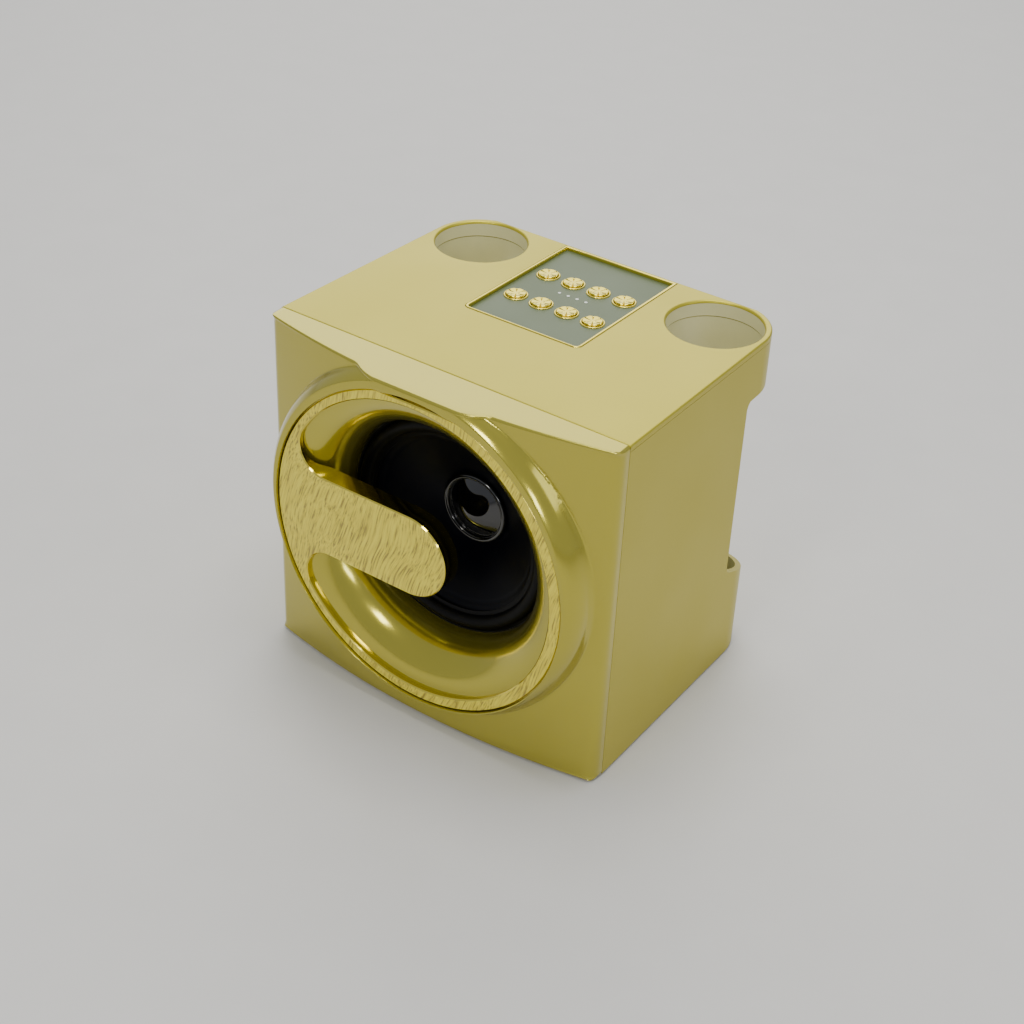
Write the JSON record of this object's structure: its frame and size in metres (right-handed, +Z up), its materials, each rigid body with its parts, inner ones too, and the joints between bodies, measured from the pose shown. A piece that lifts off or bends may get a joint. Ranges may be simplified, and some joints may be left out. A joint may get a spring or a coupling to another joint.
{
  "type": "karaoke loudspeaker",
  "caption": "Gold table-top karaoke loudspeaker with a bowed front, a ringed horn, a top control panel with sprung buttons, and open wells that hold microphones at its rear corners.",
  "frame": {"origin": "on the table, at the middle of the bounding box's bottom face", "axes": "+X to the right seen from the front, +Y to the back, +Z up"},
  "size_m": [0.19, 0.1624, 0.1788],
  "materials": {
    "satin_gold_abs": "satin metallic gold paint on moulded ABS",
    "pearl_gold_abs": "glossy pearl gold lacquer on moulded ABS",
    "grain_print_gold": "glossy gold wood-grain print",
    "bright_gold": "bright gold electroplate",
    "sage_plate": "satin grey-green print",
    "cone_black": "smooth blue-black polypropylene",
    "cap_black": "glossy black",
    "surround_rubber": "satin black rubber",
    "foot_rubber": "matt rubber",
    "basket_steel": "black painted pressed steel",
    "plated_steel": "zinc plated",
    "ferrite": "sintered ferrite",
    "coil_copper": "enamelled copper",
    "spider_cloth": "impregnated cloth",
    "foam": "closed-cell foam",
    "board_green": "solder-masked fibreglass",
    "black_abs": "moulded black plastic",
    "lens_white": "milky clear",
    "lens_red": "tinted clear",
    "cell_wrap": "shrink-wrapped steel can",
    "cable_grey": "extruded vinyl",
    "lead_red": "extruded vinyl",
    "tag_board": "pressed fibre board"
  },
  "bodies": {
    "casing": {"cabinet": "satin_gold_abs", "well_housings": "satin_gold_abs", "top_cover": "satin_gold_abs", "front_baffle": "pearl_gold_abs", "horn": "pearl_gold_abs", "trim_ring": "grain_print_gold", "driver_gasket": "foam", "driver_basket": "basket_steel", "driver_surround": "surround_rubber", "spider": "spider_cloth", "magnet_top_plate": "plated_steel", "magnet": "ferrite", "magnet_back_plate": "plated_steel", "driver_terminal": "tag_board", "driver_screws": "plated_steel", "control_bezel": "bright_gold", "control_plate": "sage_plate", "button_rings": "bright_gold", "lamp_lenses": "lens_white", "control_board": "board_green", "button_switches": "black_abs", "control_board_screws": "plated_steel", "socket_panel": "satin_gold_abs", "panel_screws": "plated_steel", "main_board": "board_green", "main_board_screws": "plated_steel", "usb_a_socket": "plated_steel", "usb_c_socket": "plated_steel", "audio_socket": "black_abs", "power_switch": "plated_steel", "charge_lamp": "lens_red", "battery_holder": "black_abs", "battery_cell": "cell_wrap", "ribbon_cable": "cable_grey", "speaker_lead": "lead_red", "well_pads": "foam", "feet": "foot_rubber", "baffle_screws": "plated_steel"},
    "cone": {"driver_cone": "cone_black", "dust_cap": "cap_black", "voice_coil": "coil_copper"},
    "power_knob": {"switch_knob": "black_abs"},
    "button_1": {"button_1": "bright_gold"},
    "button_2": {"button_2": "bright_gold"},
    "button_3": {"button_3": "bright_gold"},
    "button_4": {"button_4": "bright_gold"},
    "button_5": {"button_5": "bright_gold"},
    "button_6": {"button_6": "bright_gold"},
    "button_7": {"button_7": "bright_gold"},
    "button_8": {"button_8": "bright_gold"}
  },
  "joints": [
    {"name": "cone_travel", "type": "slide", "parent": "casing", "child": "cone", "axis": [0, 1, 0], "range_m": [-0.003, 0.003], "stiffness_N_per_m": 1500, "deforming": ["driver_surround", "spider"]},
    {"name": "power_slide", "type": "slide", "parent": "casing", "child": "power_knob", "axis": [1, 0, 0], "range_m": [0, 0.004]},
    {"name": "button_1_press", "type": "slide", "parent": "casing", "child": "button_1", "axis": [0, 0, -1], "range_m": [0, 0.0005], "stiffness_N_per_m": 400},
    {"name": "button_2_press", "type": "slide", "parent": "casing", "child": "button_2", "axis": [0, 0, -1], "range_m": [0, 0.0005], "stiffness_N_per_m": 400},
    {"name": "button_3_press", "type": "slide", "parent": "casing", "child": "button_3", "axis": [0, 0, -1], "range_m": [0, 0.0005], "stiffness_N_per_m": 400},
    {"name": "button_4_press", "type": "slide", "parent": "casing", "child": "button_4", "axis": [0, 0, -1], "range_m": [0, 0.0005], "stiffness_N_per_m": 400},
    {"name": "button_5_press", "type": "slide", "parent": "casing", "child": "button_5", "axis": [0, 0, -1], "range_m": [0, 0.0005], "stiffness_N_per_m": 400},
    {"name": "button_6_press", "type": "slide", "parent": "casing", "child": "button_6", "axis": [0, 0, -1], "range_m": [0, 0.0005], "stiffness_N_per_m": 400},
    {"name": "button_7_press", "type": "slide", "parent": "casing", "child": "button_7", "axis": [0, 0, -1], "range_m": [0, 0.0005], "stiffness_N_per_m": 400},
    {"name": "button_8_press", "type": "slide", "parent": "casing", "child": "button_8", "axis": [0, 0, -1], "range_m": [0, 0.0005], "stiffness_N_per_m": 400}
  ]
}
